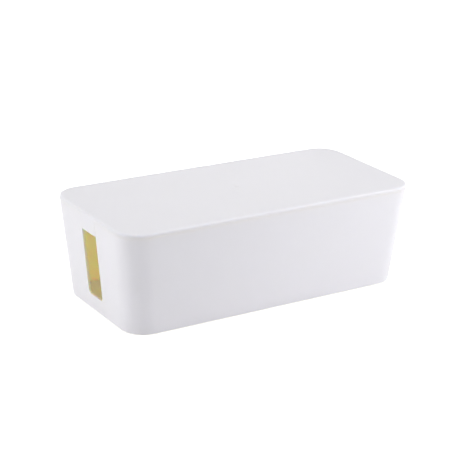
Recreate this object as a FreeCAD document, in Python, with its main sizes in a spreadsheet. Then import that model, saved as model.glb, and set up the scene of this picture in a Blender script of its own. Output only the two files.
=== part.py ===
import FreeCAD, Part
import math
import os
import Sketcher

# Cable management box: a tapered plastic tub with a cable slot in each end, and a lid that lifts off.
# Millimetres. X runs along the box, Y across it and Z up. The origin is on the table, under the middle.

# Driving dimensions: name, value in millimetres, and what it measures.
SIZES = (
    ("height", "101", "table to the top of the lid"),
    ("top_length", "320", "outside length at the top of the lid"),
    ("top_width", "150", "outside width at the top of the lid"),
    ("base_length", "298.9", "outside length at the underside of the tub"),
    ("base_width", "137.3", "outside width at the underside of the tub"),
    ("corner", "24", "outside radius of the four upright corners"),
    ("wall", "2.6", "thickness of the tub's walls, and of the lid's edge that sits on them"),
    ("floor", "2.6", "thickness of the tub's floor"),
    ("base_round", "2", "round on the tub's outer bottom edge"),
    ("floor_round", "3", "round where the tub's floor meets its walls, inside"),
    ("rim_round", "0.25", "round on the outer edge of the tub's rim"),
    ("slot_width", "27.5", "width of each cable slot"),
    ("slot_sill", "17.4", "height of each slot's sill above the table"),
    ("slot_corner", "4", "radius of the slot's two lower corners"),
    ("slot_round", "0.2", "round on the slot's outer edge"),
    ("lid_edge", "4.2", "height of the lid's edge above the seam"),
    ("lid_plate", "2.2", "thickness of the lid's flat top"),
    ("lid_round", "1.8", "round on the lid's top edge"),
    ("lid_seam_round", "0.2", "round on the lid's edge along the seam"),
    ("lid_seat", "0.05", "gap between the lid's edge and the tub's rim"),
    ("skirt_depth", "6", "how far the lid's skirt reaches below the seam"),
    ("skirt_wall", "1.6", "thickness of the lid's skirt"),
    ("skirt_clearance", "0.4", "gap between the skirt and the tub's wall"),
    ("skirt_chamfer", "0.7", "lead-in on the skirt's lower edge"),
    ("tab_depth", "14.8", "how far each end tab reaches below the seam, to close the slot's top"),
    ("tab_clearance", "0.2", "gap between a tab and each side of its slot"),
    ("tab_round", "0.3", "round on the tab's lower outer edge"),
    ("rib_wall", "1.2", "thickness of the ribs under the lid"),
    ("rib_depth", "1.6", "height of the ribs under the lid"),
    ("rib_pitch_along", "60", "spacing of the four ribs that run across the lid"),
    ("rib_pitch_across", "44", "spacing of the two ribs that run along the lid"),
    ("gate_width", "7", "diameter of the moulding gate's dimple"),
    ("gate_depth", "0.3", "depth of the gate's dimple"),
    ("gate_nub", "1.8", "diameter of the gate's stub in its dimple"),
    ("pin_mark", "8", "diameter of the ejector pin marks on the inner faces"),
    ("pin_mark_depth", "0.15", "depth of the ejector pin marks"),
    ("pin_mark_inset", "38", "distance of the outer pin marks from the ends and sides of the box"),
    ("foot_width", "12", "diameter of a rubber foot"),
    ("foot_round", "0.6", "round on the foot's lower edge"),
    ("foot_proud", "1", "how far the feet stand out below the tub"),
    ("foot_recess", "1", "depth of the recess that holds a foot"),
    ("foot_recess_margin", "0.8", "gap around a foot in its recess"),
    ("foot_inset", "24", "distance of a foot's centre from the ends and sides of the base"),
    ("adhesive", "0.15", "thickness of the adhesive disc that holds a foot"),
    ("adhesive_margin", "0.4", "how far the adhesive disc stays inside the foot's edge"),
)

# Heights and insets that several pieces share, worked out from the sizes above.
SEAM = "(Sizes.height - Sizes.lid_edge)"
LID_LOW = f"({SEAM} + Sizes.lid_seat)"
PLATE_LOW = "(Sizes.height - Sizes.lid_plate)"
SKIRT_LOW = f"({SEAM} - Sizes.skirt_depth)"
TAB_LOW = f"({SEAM} - Sizes.tab_depth)"
FLOOR_TOP = "(Sizes.foot_proud + Sizes.floor)"
SKIRT_INSET = "(Sizes.wall + Sizes.skirt_clearance)"
HOLLOW_INSET = f"({SKIRT_INSET} + Sizes.skirt_wall)"

# The four corners of the base, as a name and the signs of X and Y. The front is the -Y side.
CORNERS = (
    ("front_left", -1, -1),
    ("front_right", 1, -1),
    ("back_left", -1, 1),
    ("back_right", 1, 1),
)

# Two points closer than this count as one place when edges are picked.
NEAR = 0.01
# How far an outline's edge may stray from a true arc, because the corners slope.
WITHIN = 0.3
# A feature that changes a piece's volume by less than this, in cubic millimetres, has done nothing.
NO_CHANGE = 0.0001

# Where the ribs under the lid lie, counted in rib spacings from the middle.
FOUR_RIBS = (-1.5, -0.5, 0.5, 1.5)
TWO_RIBS = (-0.5, 0.5)

doc = FreeCAD.newDocument("CableBox")


def fill_sheet():
    """Write the driving dimensions into the sheet, one named cell each."""
    sheet = doc.addObject("Spreadsheet::Sheet", "Sizes")
    for row, (name, value, note) in enumerate(SIZES, start=1):
        sheet.set(f"A{row}", name)
        sheet.set(f"B{row}", value)
        sheet.set(f"C{row}", note)
        sheet.setAlias(f"B{row}", name)
    doc.recompute()
    return sheet


sizes = fill_sheet()


def value_of(expression):
    """The present value of an expression over the sheet's cells."""
    return float(sizes.evalExpression(expression))


def outer(kind, level):
    """The outside length, width or corner at a height, on the straight taper from base to top."""
    rise = f"(({level}) - Sizes.foot_proud) / (Sizes.height - Sizes.foot_proud)"
    return f"(Sizes.base_{kind} + (Sizes.top_{kind} - Sizes.base_{kind}) * {rise})"


def new_body(name):
    """An empty body whose label names its file."""
    body = doc.addObject("PartDesign::Body", name)
    body.Label = name
    return body


def new_sketch(body, name, plane, offset="0"):
    """A sketch on one of the body's own origin planes, raised along the plane's normal."""
    sketch = body.newObject("Sketcher::SketchObject", name)
    support = [item for item in body.Origin.OriginFeatures if item.Role == plane]
    sketch.AttachmentSupport = [(support[0], "")]
    sketch.MapMode = "FlatFace"
    sketch.setExpression("AttachmentOffset.Base.z", offset)
    return sketch


def hold(sketch, name, expression, *where):
    """Add a dimension to a sketch and bind it to an expression."""
    kind = where[0]
    index = sketch.addConstraint(Sketcher.Constraint(kind, *where[1:], value_of(expression)))
    sketch.renameConstraint(index, name)
    sketch.setExpression(f"Constraints.{name}", expression)


def point(x, y):
    """A point in a sketch's own plane."""
    return FreeCAD.Vector(x, y, 0)


def tapered_block(body, name, low, high, inset, kind):
    """Add or cut the box's tapered block between two heights, set in from its outside by a distance."""
    wedge = body.newObject(f"PartDesign::{kind}Wedge", name)
    support = [item for item in body.Origin.OriginFeatures if item.Role == "XZ_Plane"]
    wedge.AttachmentSupport = [(support[0], "")]
    wedge.MapMode = "FlatFace"
    wedge.setExpression("Ymin", low)
    wedge.setExpression("Ymax", high)
    for prefix, level in (("", low), ("2", high)):
        for axis, kind_of_size in (("X", "length"), ("Z", "width")):
            half = f"({outer(kind_of_size, level)} / 2 - ({inset}))"
            wedge.setExpression(f"{axis}{prefix}min", f"-{half}")
            wedge.setExpression(f"{axis}{prefix}max", half)
    doc.recompute()
    return wedge


def upright_edges(low, high, inset):
    """A test for the four sloping corner edges of a tapered block between two heights."""

    def test(edge):
        box = edge.BoundBox
        middle = edge.valueAt((edge.FirstParameter + edge.LastParameter) / 2)
        level = str(middle.z)
        to_end = abs(middle.x) - (value_of(outer("length", level)) / 2 - value_of(inset))
        to_side = abs(middle.y) - (value_of(outer("width", level)) / 2 - value_of(inset))
        spans = box.ZMin > value_of(low) - NEAR and box.ZMax < value_of(high) + NEAR
        return spans and max(abs(to_end), abs(to_side)) < NEAR and box.ZMax - box.ZMin > NEAR

    return test


def round_corners(body, name, low, high, inset):
    """Round the four upright corners of a tapered block so that walls stay one thickness round them."""
    return dressed(body, name, "Fillet", upright_edges(low, high, inset), f"(Sizes.corner - ({inset}))")


def rectangle(sketch, number, left, right, low, high):
    """Add one rectangle to a sketch, held by the four expressions for its sides."""
    x_left = value_of(left)
    x_right = value_of(right)
    y_low = value_of(low)
    y_high = value_of(high)
    corners = ((x_left, y_low), (x_right, y_low), (x_right, y_high), (x_left, y_high))
    first = sketch.GeometryCount
    for turn in range(4):
        sketch.addGeometry(Part.LineSegment(point(*corners[turn]), point(*corners[(turn + 1) % 4])))
    for turn in range(4):
        here = first + turn
        sketch.addConstraint(Sketcher.Constraint("Coincident", here, 2, first + (turn + 1) % 4, 1))
        sketch.addConstraint(Sketcher.Constraint("Horizontal" if turn % 2 == 0 else "Vertical", here))
    hold(sketch, f"Left{number}", left, "DistanceX", -1, 1, first, 1)
    hold(sketch, f"Right{number}", right, "DistanceX", -1, 1, first + 1, 1)
    hold(sketch, f"Low{number}", low, "DistanceY", -1, 1, first, 1)
    hold(sketch, f"High{number}", high, "DistanceY", -1, 1, first + 2, 1)


def circle(sketch, number, across, along, diameter):
    """Add one circle to a sketch, held by the expressions for its centre and its diameter."""
    centre = point(value_of(across), value_of(along))
    up = FreeCAD.Vector(0, 0, 1)
    index = sketch.addGeometry(Part.Circle(centre, up, value_of(diameter) / 2))
    hold(sketch, f"Across{number}", across, "DistanceX", -1, 1, index, 3)
    hold(sketch, f"Along{number}", along, "DistanceY", -1, 1, index, 3)
    hold(sketch, f"Diameter{number}", diameter, "Diameter", index)


def swept(body, name, kind, sketch, depth, reverse=False, both_ways=False):
    """Pad or pocket a sketch by a depth. Both ways means half of it to each side of the sketch."""
    feature = body.newObject(f"PartDesign::{kind}", name)
    feature.Profile = sketch
    feature.SideType = "Symmetric" if both_ways else "One side"
    feature.Reversed = reverse
    feature.setExpression("Length", depth)
    doc.recompute()
    return feature


def dressed(body, name, kind, test, size):
    """Fillet or chamfer the edges of the body's present solid that pass a test."""
    base = body.Tip
    names = [f"Edge{number}" for number, edge in enumerate(base.Shape.Edges, start=1) if test(edge)]
    feature = body.newObject(f"PartDesign::{kind}", name)
    feature.Base = (base, names)
    feature.setExpression("Radius" if kind == "Fillet" else "Size", size)
    doc.recompute()
    return feature


def at_level(edge, level):
    """Whether an edge lies in the level plane at a height."""
    box = edge.BoundBox
    height = value_of(level)
    return abs(box.ZMin - height) < NEAR and abs(box.ZMax - height) < NEAR


def outline_edges(level, inset):
    """A test for the edges of the level outline that is set in from the outside by a distance."""
    half_length = value_of(f"({outer('length', level)}) / 2 - ({inset})")
    half_width = value_of(f"({outer('width', level)}) / 2 - ({inset})")
    corner = value_of(f"Sizes.corner - ({inset})")

    def test(edge):
        if not at_level(edge, level):
            return False
        middle = edge.valueAt((edge.FirstParameter + edge.LastParameter) / 2)
        past_x = max(abs(middle.x) - (half_length - corner), 0)
        past_y = max(abs(middle.y) - (half_width - corner), 0)
        return abs(math.hypot(past_x, past_y) - corner) < WITHIN

    return test


def slot_rim_edges(edge):
    """Whether an edge is part of a cable slot's outline on the outside of an end wall."""
    half_slot = value_of("Sizes.slot_width") / 2
    box = edge.BoundBox
    middle = edge.valueAt((edge.FirstParameter + edge.LastParameter) / 2)
    inside_width = max(abs(box.YMin), abs(box.YMax)) < half_slot + NEAR
    below_rim = box.ZMax - box.ZMin > NEAR or abs(box.ZMin - value_of("Sizes.slot_sill")) < NEAR
    on_end = abs(abs(middle.x) - value_of(outer("length", str(middle.z))) / 2) < NEAR
    return inside_width and below_rim and on_end


def tab_edges(edge):
    """Whether an edge is the lower outer edge of one of the lid's end tabs."""
    middle = edge.valueAt((edge.FirstParameter + edge.LastParameter) / 2)
    on_end = abs(abs(middle.x) - value_of(outer("length", TAB_LOW)) / 2) < NEAR
    return at_level(edge, TAB_LOW) and on_end


def gate_mark(body, name, level, into_up):
    """A round dimple in a face, with the stub of the moulding gate standing in its middle."""
    ring = new_sketch(body, f"{name}Sketch", "XY_Plane", level)
    circle(ring, 1, "0", "0", "Sizes.gate_width")
    circle(ring, 2, "0", "0", "Sizes.gate_nub")
    return swept(body, name, "Pocket", ring, "Sizes.gate_depth", reverse=into_up)


def pin_marks(body, name, level, into_up):
    """Six shallow round marks in a face, where the mould's pins pushed the piece out."""
    sketch = new_sketch(body, f"{name}Sketch", "XY_Plane", level)
    number = 0
    for across in (-1, 0, 1):
        for along in (-1, 1):
            number += 1
            reach_x = f"{across} * (Sizes.base_length / 2 - Sizes.pin_mark_inset)"
            reach_y = f"{along} * (Sizes.base_width / 2 - Sizes.pin_mark_inset)"
            circle(sketch, number, reach_x, reach_y, "Sizes.pin_mark")
    return swept(body, name, "Pocket", sketch, "Sizes.pin_mark_depth", reverse=into_up)


def make_tub():
    """The open tub: tapered walls on a flat floor, with a slot open at the top in each end wall."""
    body = new_body("tub")
    tapered_block(body, "Shell", "Sizes.foot_proud", SEAM, "0", "Additive")
    tapered_block(body, "Cavity", FLOOR_TOP, SEAM, "Sizes.wall", "Subtractive")
    round_corners(body, "CavityCorners", FLOOR_TOP, SEAM, "Sizes.wall")
    round_corners(body, "ShellCorners", "Sizes.foot_proud", SEAM, "0")
    dressed(body, "BaseRound", "Fillet", outline_edges("Sizes.foot_proud", "0"), "Sizes.base_round")
    dressed(body, "FloorRound", "Fillet", outline_edges(FLOOR_TOP, "Sizes.wall"), "Sizes.floor_round")
    dressed(body, "RimRound", "Fillet", outline_edges(SEAM, "0"), "Sizes.rim_round")

    slot = new_sketch(body, "SlotSketch", "YZ_Plane")
    slot_outline(slot)
    swept(body, "Slots", "Pocket", slot, "Sizes.top_length + Sizes.base_length", both_ways=True)
    dressed(body, "SlotRound", "Fillet", slot_rim_edges, "Sizes.slot_round")

    recesses = new_sketch(body, "FootRecessSketch", "XY_Plane", "Sizes.foot_proud")
    for number, (corner, side_x, side_y) in enumerate(CORNERS, start=1):
        place_x, place_y = foot_place(side_x, side_y)
        diameter = "Sizes.foot_width + 2 * Sizes.foot_recess_margin"
        circle(recesses, number, place_x, place_y, diameter)
    swept(body, "FootRecesses", "Pocket", recesses, "Sizes.foot_recess", reverse=True)
    gate_mark(body, "Gate", "Sizes.foot_proud", into_up=True)
    pin_marks(body, "PinMarks", FLOOR_TOP, into_up=False)
    return body


def slot_outline(sketch):
    """The slot as seen from the end: straight sides, open at the top, with rounded lower corners."""
    half = value_of("Sizes.slot_width") / 2
    sill = value_of("Sizes.slot_sill")
    top = value_of("Sizes.height")
    radius = value_of("Sizes.slot_corner")
    up = FreeCAD.Vector(0, 0, 1)
    left_circle = Part.Circle(point(radius - half, sill + radius), up, radius)
    right_circle = Part.Circle(point(half - radius, sill + radius), up, radius)
    sketch.addGeometry(Part.LineSegment(point(-half, top), point(-half, sill + radius)))
    sketch.addGeometry(Part.ArcOfCircle(left_circle, math.pi, 3 * math.pi / 2))
    sketch.addGeometry(Part.LineSegment(point(radius - half, sill), point(half - radius, sill)))
    sketch.addGeometry(Part.ArcOfCircle(right_circle, 3 * math.pi / 2, 2 * math.pi))
    sketch.addGeometry(Part.LineSegment(point(half, sill + radius), point(half, top)))
    sketch.addGeometry(Part.LineSegment(point(half, top), point(-half, top)))
    for number in range(4):
        sketch.addConstraint(Sketcher.Constraint("Tangent", number, 2, number + 1, 1))
    sketch.addConstraint(Sketcher.Constraint("Coincident", 4, 2, 5, 1))
    sketch.addConstraint(Sketcher.Constraint("Coincident", 5, 2, 0, 1))
    sketch.addConstraint(Sketcher.Constraint("Horizontal", 2))
    sketch.addConstraint(Sketcher.Constraint("Vertical", 0))
    sketch.addConstraint(Sketcher.Constraint("Vertical", 4))
    sketch.addConstraint(Sketcher.Constraint("Equal", 1, 3))
    sketch.addConstraint(Sketcher.Constraint("Symmetric", 0, 1, 4, 2, -2))
    hold(sketch, "Width", "Sizes.slot_width", "DistanceX", 0, 1, 4, 2)
    hold(sketch, "Sill", "Sizes.slot_sill", "DistanceY", -1, 1, 2, 1)
    hold(sketch, "Top", "Sizes.height", "DistanceY", -1, 1, 4, 2)
    hold(sketch, "Corner", "Sizes.slot_corner", "Radius", 1)


def make_lid():
    """The lift-off lid: a flat top with a short edge, a skirt inside the tub and a tab in each slot."""
    body = new_body("lid")
    tapered_block(body, "Blank", TAB_LOW, "Sizes.height", "0", "Additive")

    sides = new_sketch(body, "TabSidesSketch", "YZ_Plane")
    half_tab = "(Sizes.slot_width / 2 - Sizes.tab_clearance)"
    beyond = "Sizes.top_width"
    below = f"({TAB_LOW} - Sizes.lid_edge)"
    rectangle(sides, 1, f"-{beyond}", f"-{half_tab}", below, LID_LOW)
    rectangle(sides, 2, half_tab, beyond, below, LID_LOW)
    swept(body, "TabSides", "Pocket", sides, "Sizes.top_length + Sizes.base_length", both_ways=True)

    tapered_block(body, "SkirtBlock", SKIRT_LOW, LID_LOW, SKIRT_INSET, "Additive")
    tapered_block(body, "Hollow", SKIRT_LOW, PLATE_LOW, HOLLOW_INSET, "Subtractive")
    tapered_block(body, "TabBacks", TAB_LOW, SKIRT_LOW, "Sizes.wall", "Subtractive")
    round_corners(body, "HollowCorners", SKIRT_LOW, PLATE_LOW, HOLLOW_INSET)
    round_corners(body, "SkirtCorners", SKIRT_LOW, LID_LOW, SKIRT_INSET)
    round_corners(body, "EdgeCorners", LID_LOW, "Sizes.height", "0")
    dressed(body, "TopRound", "Fillet", outline_edges("Sizes.height", "0"), "Sizes.lid_round")
    dressed(body, "SeamRound", "Fillet", outline_edges(LID_LOW, "0"), "Sizes.lid_seam_round")
    dressed(body, "SkirtLeadIn", "Chamfer", outline_edges(SKIRT_LOW, SKIRT_INSET), "Sizes.skirt_chamfer")
    dressed(body, "TabRound", "Fillet", tab_edges, "Sizes.tab_round")

    half_length = f"({outer('length', PLATE_LOW)} / 2 - {HOLLOW_INSET} + Sizes.skirt_wall / 2)"
    half_width = f"({outer('width', PLATE_LOW)} / 2 - {HOLLOW_INSET} + Sizes.skirt_wall / 2)"
    across = new_sketch(body, "RibsAcrossSketch", "XY_Plane", PLATE_LOW)
    for number, step in enumerate(FOUR_RIBS, start=1):
        left = f"({step} * Sizes.rib_pitch_along - Sizes.rib_wall / 2)"
        right = f"({step} * Sizes.rib_pitch_along + Sizes.rib_wall / 2)"
        rectangle(across, number, left, right, f"-{half_width}", half_width)
    swept(body, "RibsAcross", "Pad", across, "Sizes.rib_depth", reverse=True)
    along = new_sketch(body, "RibsAlongSketch", "XY_Plane", PLATE_LOW)
    for number, step in enumerate(TWO_RIBS, start=1):
        low = f"({step} * Sizes.rib_pitch_across - Sizes.rib_wall / 2)"
        high = f"({step} * Sizes.rib_pitch_across + Sizes.rib_wall / 2)"
        rectangle(along, number, f"-{half_length}", half_length, low, high)
    swept(body, "RibsAlong", "Pad", along, "Sizes.rib_depth", reverse=True)

    gate_mark(body, "Gate", "Sizes.height", into_up=False)
    pin_marks(body, "PinMarks", PLATE_LOW, into_up=True)
    return body


def foot_place(side_x, side_y):
    """The expressions for the X and Y of a foot's centre at one corner."""
    place_x = f"{side_x} * (Sizes.base_length / 2 - Sizes.foot_inset)"
    place_y = f"{side_y} * (Sizes.base_width / 2 - Sizes.foot_inset)"
    return place_x, place_y


def place_at(body, side_x, side_y, level):
    """Bind a body's placement to a foot's centre and a height."""
    place_x, place_y = foot_place(side_x, side_y)
    body.setExpression("Placement.Base.x", place_x)
    body.setExpression("Placement.Base.y", place_y)
    body.setExpression("Placement.Base.z", level)


def make_foot(corner, side_x, side_y):
    """One round rubber foot, standing on the table and reaching up into its recess."""
    body = new_body(f"foot_{corner}")
    disc = new_sketch(body, "DiscSketch", "XY_Plane")
    circle(disc, 1, "0", "0", "Sizes.foot_width")
    depth = "Sizes.foot_proud + Sizes.foot_recess - Sizes.adhesive"
    swept(body, "Disc", "Pad", disc, depth)
    dressed(body, "LowerRound", "Fillet", lambda edge: at_level(edge, "0"), "Sizes.foot_round")
    place_at(body, side_x, side_y, "0")
    return body


def make_adhesive(corner, side_x, side_y):
    """The thin adhesive disc between a foot and the top of its recess."""
    body = new_body(f"foot_adhesive_{corner}")
    disc = new_sketch(body, "DiscSketch", "XY_Plane")
    circle(disc, 1, "0", "0", "Sizes.foot_width - 2 * Sizes.adhesive_margin")
    swept(body, "Disc", "Pad", disc, "Sizes.adhesive")
    place_at(body, side_x, side_y, "Sizes.foot_proud + Sizes.foot_recess - Sizes.adhesive")
    return body


def check_model(bodies):
    """Stop if any object failed, if a feature changed nothing, or if a piece is not one valid solid."""
    for item in doc.Objects:
        if {"Invalid", "Error"} & set(item.State):
            raise RuntimeError(f"{item.Label} failed: {item.State}")
    for body in bodies:
        if body.Shape.isNull() or not body.Shape.isValid():
            raise RuntimeError(f"{body.Label} has no valid shape")
        if len(body.Shape.Solids) != 1:
            raise RuntimeError(f"{body.Label} has {len(body.Shape.Solids)} solids")
        last_volume = 0
        for feature in body.Group:
            if feature.isDerivedFrom("PartDesign::Feature"):
                if abs(feature.Shape.Volume - last_volume) < NO_CHANGE:
                    raise RuntimeError(f"{body.Label}: {feature.Label} changed nothing")
                last_volume = feature.Shape.Volume


def write_parts(bodies):
    """Write one file for each piece, named after it."""
    os.makedirs("parts", exist_ok=True)
    for body in bodies:
        body.Shape.exportStep(f"parts/{body.Label}.step")


pieces = [make_tub(), make_lid()]
for corner_name, x_side, y_side in CORNERS:
    pieces.append(make_foot(corner_name, x_side, y_side))
    pieces.append(make_adhesive(corner_name, x_side, y_side))
doc.recompute()
check_model(pieces)
write_parts(pieces)
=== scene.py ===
import math

import bpy
from mathutils import Matrix, Vector


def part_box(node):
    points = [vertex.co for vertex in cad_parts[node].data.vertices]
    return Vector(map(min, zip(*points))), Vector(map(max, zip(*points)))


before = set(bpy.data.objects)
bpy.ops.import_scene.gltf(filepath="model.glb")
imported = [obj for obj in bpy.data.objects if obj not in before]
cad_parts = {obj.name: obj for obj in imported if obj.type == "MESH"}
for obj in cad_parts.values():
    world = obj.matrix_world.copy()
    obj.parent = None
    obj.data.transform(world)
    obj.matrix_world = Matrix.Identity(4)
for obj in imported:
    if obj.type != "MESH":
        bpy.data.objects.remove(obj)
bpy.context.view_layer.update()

# Lengths are in metres, the camera's lens and sensor in millimetres, and angles in degrees.

# The camera stands off the left front corner of the box and looks down on it a little.
# It is raised along its own upward direction, so that it looks at about the box's middle.
CAMERA_AZIMUTH = -32.66
CAMERA_ELEVATION = 20.13
CAMERA_ROLL = 1.58
CAMERA_DISTANCE = 1.460
CAMERA_RAISE = 0.0492
CAMERA_LENS = 113.93
CAMERA_SENSOR = 36.0
CAMERA_NEAREST = 0.01

# The box's tapered outline: half its length and half its width, each at the underside and at the top.
HALF_LENGTHS = (0.14945, 0.160)
HALF_WIDTHS = (0.06865, 0.075)
CORNER_ROUND = 0.024
TUB_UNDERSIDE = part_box("tub")[0][2]
BOX_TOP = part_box("lid")[1][2]

# Where the plastic's outer look gives way to its inner look, with its painted light: how deep inside the
# outline, how high above the ground, which clears the tub's floor, and how far under the lid's top.
WALL_FADE = (0.0002, 0.0014)
FLOOR_FADE = (0.0040, 0.0080)
LID_FADE = (0.0005, 0.0021)

# White moulded plastic. It reflects a cool white, in clouds of two tones.
# The scale of each noise, here and below, is its number of features in a metre.
PLASTIC_LIGHT = (0.870, 0.864, 0.918)
PLASTIC_DARK = (0.860, 0.854, 0.908)
# The inner faces' white is painted lighter and warmer than the outer plastic: painted light for the
# light that comes through the walls.
INNER_WHITE_PAINTED_LIGHT = (0.93, 0.92, 0.90)
CLOUD_SCALE = 14.0
PLASTIC_IOR = 1.49
PLASTIC_SPECULAR = 0.35
# How far red, green and blue light wander in the plastic, seen on its outer and on its inner faces.
OUTER_DEPTHS = (0.0017, 0.0017, 0.0017)
INNER_DEPTHS = (0.016, 0.007, 0.0005)
# The share of the lamps' light that goes through each face of a wall into the box, and its warm tint.
TUB_LETS_THROUGH = 0.47
LID_LETS_THROUGH = 0.70
THROUGH_TINT = (1.0, 0.91, 0.60)
# The roughness of the plastic runs over these ranges, in smears.
TUB_ROUGHNESS = (0.34, 0.46)
LID_ROUGHNESS = (0.32, 0.44)
SMEAR_SCALE = 40.0
# The part of a noise's range that most of its values lie in.
NOISE_MIDDLE = (0.3, 0.7)
# The fine grain of the mould, and the broad faint marks where the plastic flowed.
GRAIN_SCALE = 2600.0
GRAIN_HEIGHT = 0.00002
FLOW_SCALE = 30.0
FLOW_HEIGHT = 0.0002
FLOW_STRENGTH = 0.5

# The feet: grey rubber with a little dust in its skin, and a yellowish adhesive.
RUBBER_DARK = (0.085, 0.085, 0.09)
RUBBER_DUSTY = (0.14, 0.14, 0.145)
RUBBER_ROUGHNESS = (0.62, 0.82)
RUBBER_PLAIN_ROUGHNESS = 0.75
DUST_SCALE = 900.0
SKIN_SCALE = 4000.0
SKIN_HEIGHT = 0.00003
ADHESIVE_DARK = (0.45, 0.40, 0.28)
ADHESIVE_PALE = (0.58, 0.53, 0.40)
ADHESIVE_ROUGHNESS = (0.3, 0.5)
ADHESIVE_PLAIN_ROUGHNESS = 0.4
STREAK_SCALE = 700.0

# What the camera, a gloss or a clear piece sees of the studio, where 1 is white.
BACKDROP_STRENGTH = 1.0
# The soft even light that the studio itself casts on the box.
WORLD_LIGHT = 0.05
WHITE = (1.0, 1.0, 1.0)

# The pale floor. It glows softly, so that the box's shadow shows, and its glow turns as white as the
# backdrop between two distances from the middle of the box.
FLOOR_SIZE = 6.0
FLOOR_DARK = (0.90, 0.90, 0.90)
FLOOR_PALE = (0.92, 0.92, 0.92)
FLOOR_TONE_SCALE = 3.0
FLOOR_ROUGHNESS = 0.9
FLOOR_GLOW = 0.70
FLOOR_WHITENS = (0.30, 0.80)

# The softboxes: where each stands, the point it faces, its width and height, and its power in watts.
SOFTBOXES = {
    "overhead_softbox": ((0.2, 0.0, 1.5), (0.0, 0.0, 0.05), (2.2, 2.0), 20.6),
    "left_softbox": ((-1.3, 0.1, 0.32), (-0.1, 0.0, 0.05), (0.8, 0.6), 7.5),
    "right_softbox": ((0.62, -0.78, 0.35), (0.14, 0.0, 0.05), (0.45, 0.45), 4.7),
    "back_softbox": ((0.3, 1.2, 0.12), (0.0, 0.0, 0.06), (1.2, 0.22), 4.0),
}

# The colour sockets of Blender's Mix node, which shares their names with sockets of other kinds.
MIX_FIRST = 6
MIX_SECOND = 7
MIX_RESULT = 2


def feed(socket, value):
    """Give an input socket its value: a number, a colour, or another node's output."""
    if isinstance(value, bpy.types.NodeSocket):
        socket.id_data.links.new(value, socket)
    elif isinstance(value, tuple):
        socket.default_value = (*value, 1.0)
    else:
        socket.default_value = value


def feed_shader(socket, value, plain):
    """Link a shader's input, and keep a plain value in it for programs that don't work out the nodes."""
    feed(socket, plain)
    feed(socket, value)


def add_node(tree, kind, inputs, **settings):
    """A new node with its settings, and with its inputs fed by name or number."""
    node = tree.nodes.new(kind)
    for setting, value in settings.items():
        setattr(node, setting, value)
    for socket, value in inputs.items():
        feed(node.inputs[socket], value)
    return node


def calculate(tree, operation, *values):
    """The result of a sum on one or two values, each a socket or a number."""
    return add_node(tree, "ShaderNodeMath", dict(enumerate(values)), operation=operation).outputs[0]


def spread(tree, value, low, high, from_low=0.0, from_high=1.0):
    """A value carried from one range to another, and held at its ends."""
    inputs = {"Value": value, "From Min": from_low, "From Max": from_high, "To Min": low, "To Max": high}
    return add_node(tree, "ShaderNodeMapRange", inputs).outputs["Result"]


def noise(tree, place, scale, detail=2.0, roughness=0.5):
    """A noise texture's value over the object."""
    inputs = {"Vector": place, "Scale": scale, "Detail": detail, "Roughness": roughness}
    return add_node(tree, "ShaderNodeTexNoise", inputs).outputs["Fac"]


def blend_colours(tree, factor, first, second):
    """A mix of two colours by a factor, from the first at 0 to the second at 1."""
    inputs = {"Factor": factor, MIX_FIRST: first, MIX_SECOND: second}
    return add_node(tree, "ShaderNodeMix", inputs, data_type="RGBA").outputs[MIX_RESULT]


def bump(tree, height_map, height, strength=1.0):
    """A bump node for a height map, whose white stands so high above its black."""
    inputs = {"Height": height_map, "Distance": height, "Strength": strength}
    return add_node(tree, "ShaderNodeBump", inputs)


def see_past(tree, shader, factor, tint=WHITE):
    """Let light straight through a face, in a share given by a factor, and in a tint."""
    surface = shader.outputs["BSDF"].links[0].to_socket
    veil = add_node(tree, "ShaderNodeBsdfTransparent", {"Color": tint})
    inputs = {0: factor, 1: shader.outputs["BSDF"], 2: veil.outputs["BSDF"]}
    feed(surface, add_node(tree, "ShaderNodeMixShader", inputs).outputs["Shader"])


def shown_strength(tree, seen, lit):
    """One strength for the rays that look at a surface, and another for the light that it casts."""
    rays = tree.nodes.new("ShaderNodeLightPath").outputs
    looking = calculate(tree, "MAXIMUM", rays["Is Camera Ray"], rays["Is Glossy Ray"])
    looking = calculate(tree, "MAXIMUM", looking, rays["Is Transmission Ray"])
    return spread(tree, looking, lit, seen)


def new_material(name):
    """A new node material, with its tree, its principled shader and its object coordinates."""
    material = bpy.data.materials.new(name)
    material.use_nodes = True
    tree = material.node_tree
    tree.nodes.clear()
    shader = tree.nodes.new("ShaderNodeBsdfPrincipled")
    add_node(tree, "ShaderNodeOutputMaterial", {"Surface": shader.outputs["BSDF"]})
    place = tree.nodes.new("ShaderNodeTexCoord").outputs["Object"]
    return material, tree, shader, place


def depth_inside(tree, x, y, height):
    """How deep a point lies inside the box's tapered outline, as far as the corner round's radius."""
    squares = []
    for side, (half_base, half_top) in zip((x, y), (HALF_LENGTHS, HALF_WIDTHS)):
        halves = (half_base - CORNER_ROUND, half_top - CORNER_ROUND)
        straight_half = spread(tree, height, *halves, TUB_UNDERSIDE, BOX_TOP)
        reach = calculate(tree, "ABSOLUTE", side)
        beyond = calculate(tree, "MAXIMUM", calculate(tree, "SUBTRACT", reach, straight_half), 0.0)
        squares.append(calculate(tree, "POWER", beyond, 2.0))
    distance = calculate(tree, "SQRT", calculate(tree, "ADD", *squares))
    return calculate(tree, "SUBTRACT", CORNER_ROUND, distance)


def inner_faces(tree, place):
    """One on the inner faces of the walls and the lid, and nothing on the outer faces and the floor."""
    x, y, height = add_node(tree, "ShaderNodeSeparateXYZ", {0: place}).outputs
    under_top = calculate(tree, "SUBTRACT", BOX_TOP, height)
    in_walls = spread(tree, depth_inside(tree, x, y, height), 0.0, 1.0, *WALL_FADE)
    off_floor = spread(tree, height, 0.0, 1.0, *FLOOR_FADE)
    in_lid = spread(tree, under_top, 0.0, 1.0, *LID_FADE)
    return calculate(tree, "MULTIPLY", in_walls, calculate(tree, "MULTIPLY", off_floor, in_lid))


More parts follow.
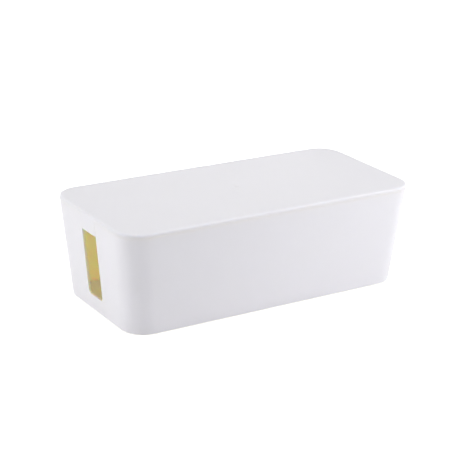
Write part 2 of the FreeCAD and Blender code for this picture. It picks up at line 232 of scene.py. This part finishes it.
def plastic(name, roughness, share_through):
    """Satin white plastic, lightly translucent, with a fine moulded grain, flow marks and smears, and
    inner faces painted lighter and warmer as painted light.
    """
    material, tree, shader, place = new_material(name)
    inner = inner_faces(tree, place)
    clouds = noise(tree, place, CLOUD_SCALE, detail=3.0)
    outer_white = blend_colours(tree, clouds, PLASTIC_DARK, PLASTIC_LIGHT)
    # The inner faces take a lighter, warmer white: painted light for the light that comes through the
    # walls.
    white = blend_colours(tree, inner, outer_white, INNER_WHITE_PAINTED_LIGHT)
    feed_shader(shader.inputs["Base Color"], white, PLASTIC_LIGHT)
    # At a scale of 1 the depths are in metres.
    feed(shader.inputs["Subsurface Weight"], 1.0)
    feed(shader.inputs["Subsurface Scale"], 1.0)
    feed(shader.inputs["Subsurface Radius"], blend_colours(tree, inner, OUTER_DEPTHS, INNER_DEPTHS))
    feed(shader.inputs["IOR"], PLASTIC_IOR)
    feed(shader.inputs["Specular IOR Level"], PLASTIC_SPECULAR)
    smears = noise(tree, place, SMEAR_SCALE, detail=4.0, roughness=0.6)
    feed(shader.inputs["Roughness"], spread(tree, smears, *roughness, *NOISE_MIDDLE))
    grain = bump(tree, noise(tree, place, GRAIN_SCALE, detail=1.0), GRAIN_HEIGHT)
    flow = bump(tree, noise(tree, place, FLOW_SCALE, detail=1.0), FLOW_HEIGHT, FLOW_STRENGTH)
    feed(flow.inputs["Normal"], grain.outputs["Normal"])
    feed(shader.inputs["Normal"], flow.outputs["Normal"])
    lamp_light = tree.nodes.new("ShaderNodeLightPath").outputs["Is Shadow Ray"]
    see_past(tree, shader, calculate(tree, "MULTIPLY", lamp_light, share_through), THROUGH_TINT)
    return material


def rubber():
    """Soft grey rubber with a matte, slightly dusty skin."""
    material, tree, shader, place = new_material("foot_rubber")
    dust = noise(tree, place, DUST_SCALE, detail=3.0)
    greys = blend_colours(tree, dust, RUBBER_DARK, RUBBER_DUSTY)
    feed_shader(shader.inputs["Base Color"], greys, RUBBER_DUSTY)
    dullness = spread(tree, dust, *RUBBER_ROUGHNESS)
    feed_shader(shader.inputs["Roughness"], dullness, RUBBER_PLAIN_ROUGHNESS)
    skin = bump(tree, noise(tree, place, SKIN_SCALE), SKIN_HEIGHT)
    feed(shader.inputs["Normal"], skin.outputs["Normal"])
    return material


def adhesive():
    """The film of adhesive above a foot, yellowish and slightly shiny."""
    material, tree, shader, place = new_material("adhesive_film")
    streaks = noise(tree, place, STREAK_SCALE)
    ambers = blend_colours(tree, streaks, ADHESIVE_DARK, ADHESIVE_PALE)
    feed_shader(shader.inputs["Base Color"], ambers, ADHESIVE_PALE)
    dullness = spread(tree, streaks, *ADHESIVE_ROUGHNESS)
    feed_shader(shader.inputs["Roughness"], dullness, ADHESIVE_PLAIN_ROUGHNESS)
    return material


def floor_paper():
    """Pale matte paper whose own glow whitens with the distance, and which isn't seen from below."""
    material, tree, shader, place = new_material("floor_paper")
    tone = noise(tree, place, FLOOR_TONE_SCALE)
    feed(shader.inputs["Base Color"], blend_colours(tree, tone, FLOOR_DARK, FLOOR_PALE))
    feed(shader.inputs["Roughness"], FLOOR_ROUGHNESS)
    feed(shader.inputs["Specular IOR Level"], 0.0)
    feed(shader.inputs["Emission Color"], WHITE)
    distance = add_node(tree, "ShaderNodeVectorMath", {0: place}, operation="LENGTH").outputs["Value"]
    glow = spread(tree, distance, FLOOR_GLOW, BACKDROP_STRENGTH, *FLOOR_WHITENS)
    feed(shader.inputs["Emission Strength"], shown_strength(tree, glow, 0.0))
    see_past(tree, shader, tree.nodes.new("ShaderNodeNewGeometry").outputs["Backfacing"])
    return material


def dress_pieces():
    """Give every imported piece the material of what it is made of, found by how its name starts."""
    # The adhesive comes before the feet, because its pieces' names start with theirs.
    materials = {
        "tub": plastic("tub_plastic", TUB_ROUGHNESS, TUB_LETS_THROUGH),
        "lid": plastic("lid_plastic", LID_ROUGHNESS, LID_LETS_THROUGH),
        "foot_adhesive": adhesive(),
        "foot": rubber(),
    }
    for name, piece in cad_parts.items():
        kind = next(start for start in materials if name.startswith(start))
        piece.data.materials.clear()
        piece.data.materials.append(materials[kind])


def make_world():
    """A white studio: white to look at, and a soft even light on the object."""
    world = bpy.data.worlds.new("studio")
    world.use_nodes = True
    tree = world.node_tree
    background = tree.nodes["Background"]
    feed(background.inputs["Color"], WHITE)
    feed(background.inputs["Strength"], shown_strength(tree, BACKDROP_STRENGTH, WORLD_LIGHT))
    bpy.context.scene.world = world


def make_floor():
    """A flat square floor under the feet."""
    half = FLOOR_SIZE / 2
    mesh = bpy.data.meshes.new("floor")
    corners = [(-half, -half, 0.0), (half, -half, 0.0), (half, half, 0.0), (-half, half, 0.0)]
    mesh.from_pydata(corners, [], [(0, 1, 2, 3)])
    mesh.materials.append(floor_paper())
    floor = bpy.data.objects.new("floor", mesh)
    bpy.context.scene.collection.objects.link(floor)


def make_softboxes():
    """The rectangular softboxes, each at its place and facing its point."""
    for name, (place, aim, size, power) in SOFTBOXES.items():
        light = bpy.data.lights.new(name, "AREA")
        light.shape = "RECTANGLE"
        light.size, light.size_y = size
        light.energy = power
        lamp = bpy.data.objects.new(name, light)
        lamp.location = place
        lamp.rotation_euler = (Vector(aim) - Vector(place)).to_track_quat("-Z", "Y").to_euler()
        bpy.context.scene.collection.objects.link(lamp)


def make_camera():
    """The photograph's camera, set by its direction, its distance and its lens."""
    turn = math.radians(CAMERA_AZIMUTH)
    lift = math.radians(CAMERA_ELEVATION)
    lean = math.radians(CAMERA_ROLL)
    back = Vector((math.sin(turn) * math.cos(lift), -math.cos(turn) * math.cos(lift), math.sin(lift)))
    level = Vector((math.cos(turn), math.sin(turn), 0.0))
    upward = back.cross(level)
    across = level * math.cos(lean) + upward * math.sin(lean)
    up = upward * math.cos(lean) - level * math.sin(lean)
    place = back * CAMERA_DISTANCE + upward * CAMERA_RAISE
    data = bpy.data.cameras.new("camera")
    data.lens = CAMERA_LENS
    data.sensor_width = CAMERA_SENSOR
    data.clip_start = CAMERA_NEAREST
    camera = bpy.data.objects.new("camera", data)
    camera.matrix_world = Matrix.Translation(place) @ Matrix((across, up, back)).transposed().to_4x4()
    bpy.context.scene.collection.objects.link(camera)
    bpy.context.scene.camera = camera


make_camera()
dress_pieces()
make_world()
make_floor()
make_softboxes()
bpy.context.scene.view_settings.view_transform = "Standard"
